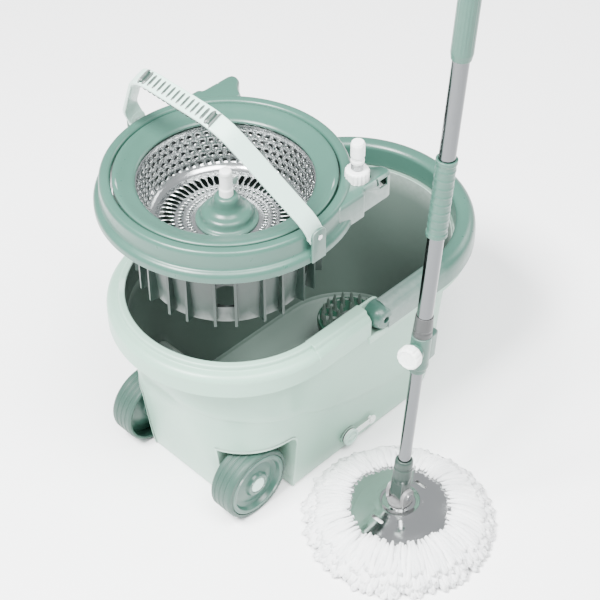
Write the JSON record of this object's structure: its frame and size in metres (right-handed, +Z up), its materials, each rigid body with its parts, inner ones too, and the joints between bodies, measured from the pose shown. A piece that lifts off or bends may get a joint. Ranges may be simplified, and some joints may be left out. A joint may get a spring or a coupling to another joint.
{
  "type": "spin mop",
  "caption": "Wheeled oval mop bucket with a lift-out spinner, a perforated steel basket, a swing bail and carry handle, beside a telescopic mop with a round fringed head.",
  "frame": {"origin": "on the floor, centred in X and Y under the whole object's box", "axes": "+Z up and along the mop's pole; +X along the bucket away from its wheels; -Y towards the mop"},
  "size_m": [0.4764, 0.482, 0.85],
  "materials": {
    "tub_plastic": "satin moulded, pale mint",
    "green_plastic": "satin moulded, grey green",
    "dark_green_plastic": "satin moulded, shaded grey green",
    "deep_green_plastic": "glossy moulded, deep green",
    "pale_plastic": "satin moulded, very pale mint",
    "white_plastic": "glossy white",
    "black_plastic": "fine matt",
    "wheel_tread": "fine matt tread",
    "black_rubber": "matt",
    "bright_steel": "turned",
    "basket_steel": "bright, pierced",
    "chrome": "bright polished",
    "microfibre": "looped white strands"
  },
  "bodies": {
    "bucket": {"tub": "tub_plastic", "axle_stubs": "bright_steel", "tub_feet": "black_rubber", "drain_seal": "black_rubber", "plug_strap": "pale_plastic", "handle_pins": "bright_steel", "wash_plinth": "dark_green_plastic", "wash_pin": "bright_steel", "tub_floor": "tub_plastic", "wheel_arches": "tub_plastic", "tub_rim": "tub_plastic", "tub_ledge": "tub_plastic"},
    "plug": {"drain_plug": "pale_plastic"},
    "washer": {"wash_disc": "deep_green_plastic", "wash_cap": "dark_green_plastic"},
    "carry_loop": {"tub_handle": "green_plastic"},
    "left_wheel": {"wheel_left": "green_plastic", "tyre_left": "wheel_tread", "hub_cap_left": "pale_plastic"},
    "right_wheel": {"wheel_right": "green_plastic", "tyre_right": "wheel_tread", "hub_cap_right": "pale_plastic"},
    "spinner": {"collar": "green_plastic", "cage": "dark_green_plastic", "cage_screws": "bright_steel", "bearing": "bright_steel", "thrust_pad": "black_rubber", "soap_tank": "white_plastic", "soap_nut": "white_plastic", "bail_pins": "bright_steel"},
    "spin_basket": {"basket": "basket_steel", "basket_rim": "green_plastic", "basket_dome": "green_plastic", "basket_spindle": "white_plastic", "basket_hub": "dark_green_plastic", "basket_shaft": "bright_steel"},
    "bail": {"bail_arms": "pale_plastic", "bail_grip": "dark_green_plastic"},
    "soap_pump": {"soap_head": "white_plastic", "soap_spring": "bright_steel"},
    "mop_yoke": {"yoke": "black_plastic", "yoke_pin": "bright_steel"},
    "mop_head": {"fringe": "microfibre", "mop_plate": "white_plastic", "mop_disc": "chrome"},
    "pole_low": {"pole_socket": "dark_green_plastic", "lower_tube": "chrome"},
    "screw_nut": {"drive_nut": "black_plastic"},
    "pole_up": {"upper_tube": "chrome", "lock_housing": "green_plastic", "lock_ferrule": "black_plastic", "drive_screw": "bright_steel", "hand_grip": "green_plastic", "end_cap": "dark_green_plastic"},
    "lock": {"lock_knob": "white_plastic"},
    "sleeve": {"spin_sleeve": "green_plastic"}
  },
  "joints": [
    {"name": "plug_pull", "type": "slide", "parent": "bucket", "child": "plug", "axis": [0, -1, 0], "range_m": [0, 0.005]},
    {"name": "washer_spin", "type": "hinge", "parent": "bucket", "child": "washer", "pos_m": [0.0915, 0.095, 0.06], "axis": [0, 0, 1], "continuous": true},
    {"name": "carry_swing", "type": "hinge", "parent": "bucket", "child": "carry_loop", "pos_m": [-0.0045, 0.095, 0.2285], "axis": [0, -1, 0], "range_deg": [0, 70]},
    {"name": "left_wheel_roll", "type": "hinge", "parent": "bucket", "child": "left_wheel", "pos_m": [-0.1601, 0.18, 0.0453], "axis": [0, 1, 0], "continuous": true},
    {"name": "right_wheel_roll", "type": "hinge", "parent": "bucket", "child": "right_wheel", "pos_m": [-0.1601, 0.01, 0.0453], "axis": [0, 1, 0], "continuous": true},
    {"name": "spinner_lift", "type": "slide", "parent": "bucket", "child": "spinner", "axis": [0, 0, 1], "range_m": [-0.1313, 0.1]},
    {"name": "basket_spin", "type": "hinge", "parent": "spinner", "child": "spin_basket", "pos_m": [-0.1015, 0.095, 0.33], "axis": [0, 0, 1], "continuous": true},
    {"name": "bail_swing", "type": "hinge", "parent": "spinner", "child": "bail", "pos_m": [-0.1055, 0.095, 0.407], "axis": [0, 1, 0], "range_deg": [-14, 60]},
    {"name": "soap_press", "type": "slide", "parent": "spinner", "child": "soap_pump", "axis": [0, 0, -1], "range_m": [0, 0.007], "stiffness_N_per_m": 400, "springref_m": -0.004, "deforming": ["soap_spring"]},
    {"name": "mop_lift", "type": "slide", "parent": "bucket", "child": "mop_yoke", "axis": [0, -0.2, 0.9798], "range_m": [0, 0.4]},
    {"name": "head_spin", "type": "hinge", "parent": "mop_yoke", "child": "mop_head", "pos_m": [-0.0595, -0.13, 0.03], "axis": [0, 0, 1], "continuous": true},
    {"name": "pole_tilt", "type": "hinge", "parent": "mop_yoke", "child": "pole_low", "pos_m": [-0.0595, -0.13, 0.054], "axis": [0, 1, 0], "range_deg": [-80, 70]},
    {"name": "pole_slide", "type": "slide", "parent": "pole_low", "child": "pole_up", "axis": [0.0872, 0, 0.9962], "range_m": [-0.12, 0.1]},
    {"name": "screw_turn", "type": "hinge", "parent": "pole_low", "child": "screw_nut", "pos_m": [-0.02028, -0.13, 0.50229], "axis": [0.0872, 0, 0.9962], "range_deg": [-420, 350]},
    {"name": "lock_turn", "type": "hinge", "parent": "pole_up", "child": "lock", "pos_m": [-0.06038, -0.13347, 0.2699], "axis": [-0.9811, -0.1736, 0.0858], "range_deg": [0, 90]},
    {"name": "sleeve_spin", "type": "hinge", "parent": "pole_up", "child": "sleeve", "pos_m": [-0.02464, -0.13, 0.45248], "axis": [0.0872, 0, 0.9962], "continuous": true}
  ],
  "couplings": [
    {"joint": "screw_turn", "follows": "pole_slide", "rad_per_m": 59.84}
  ]
}
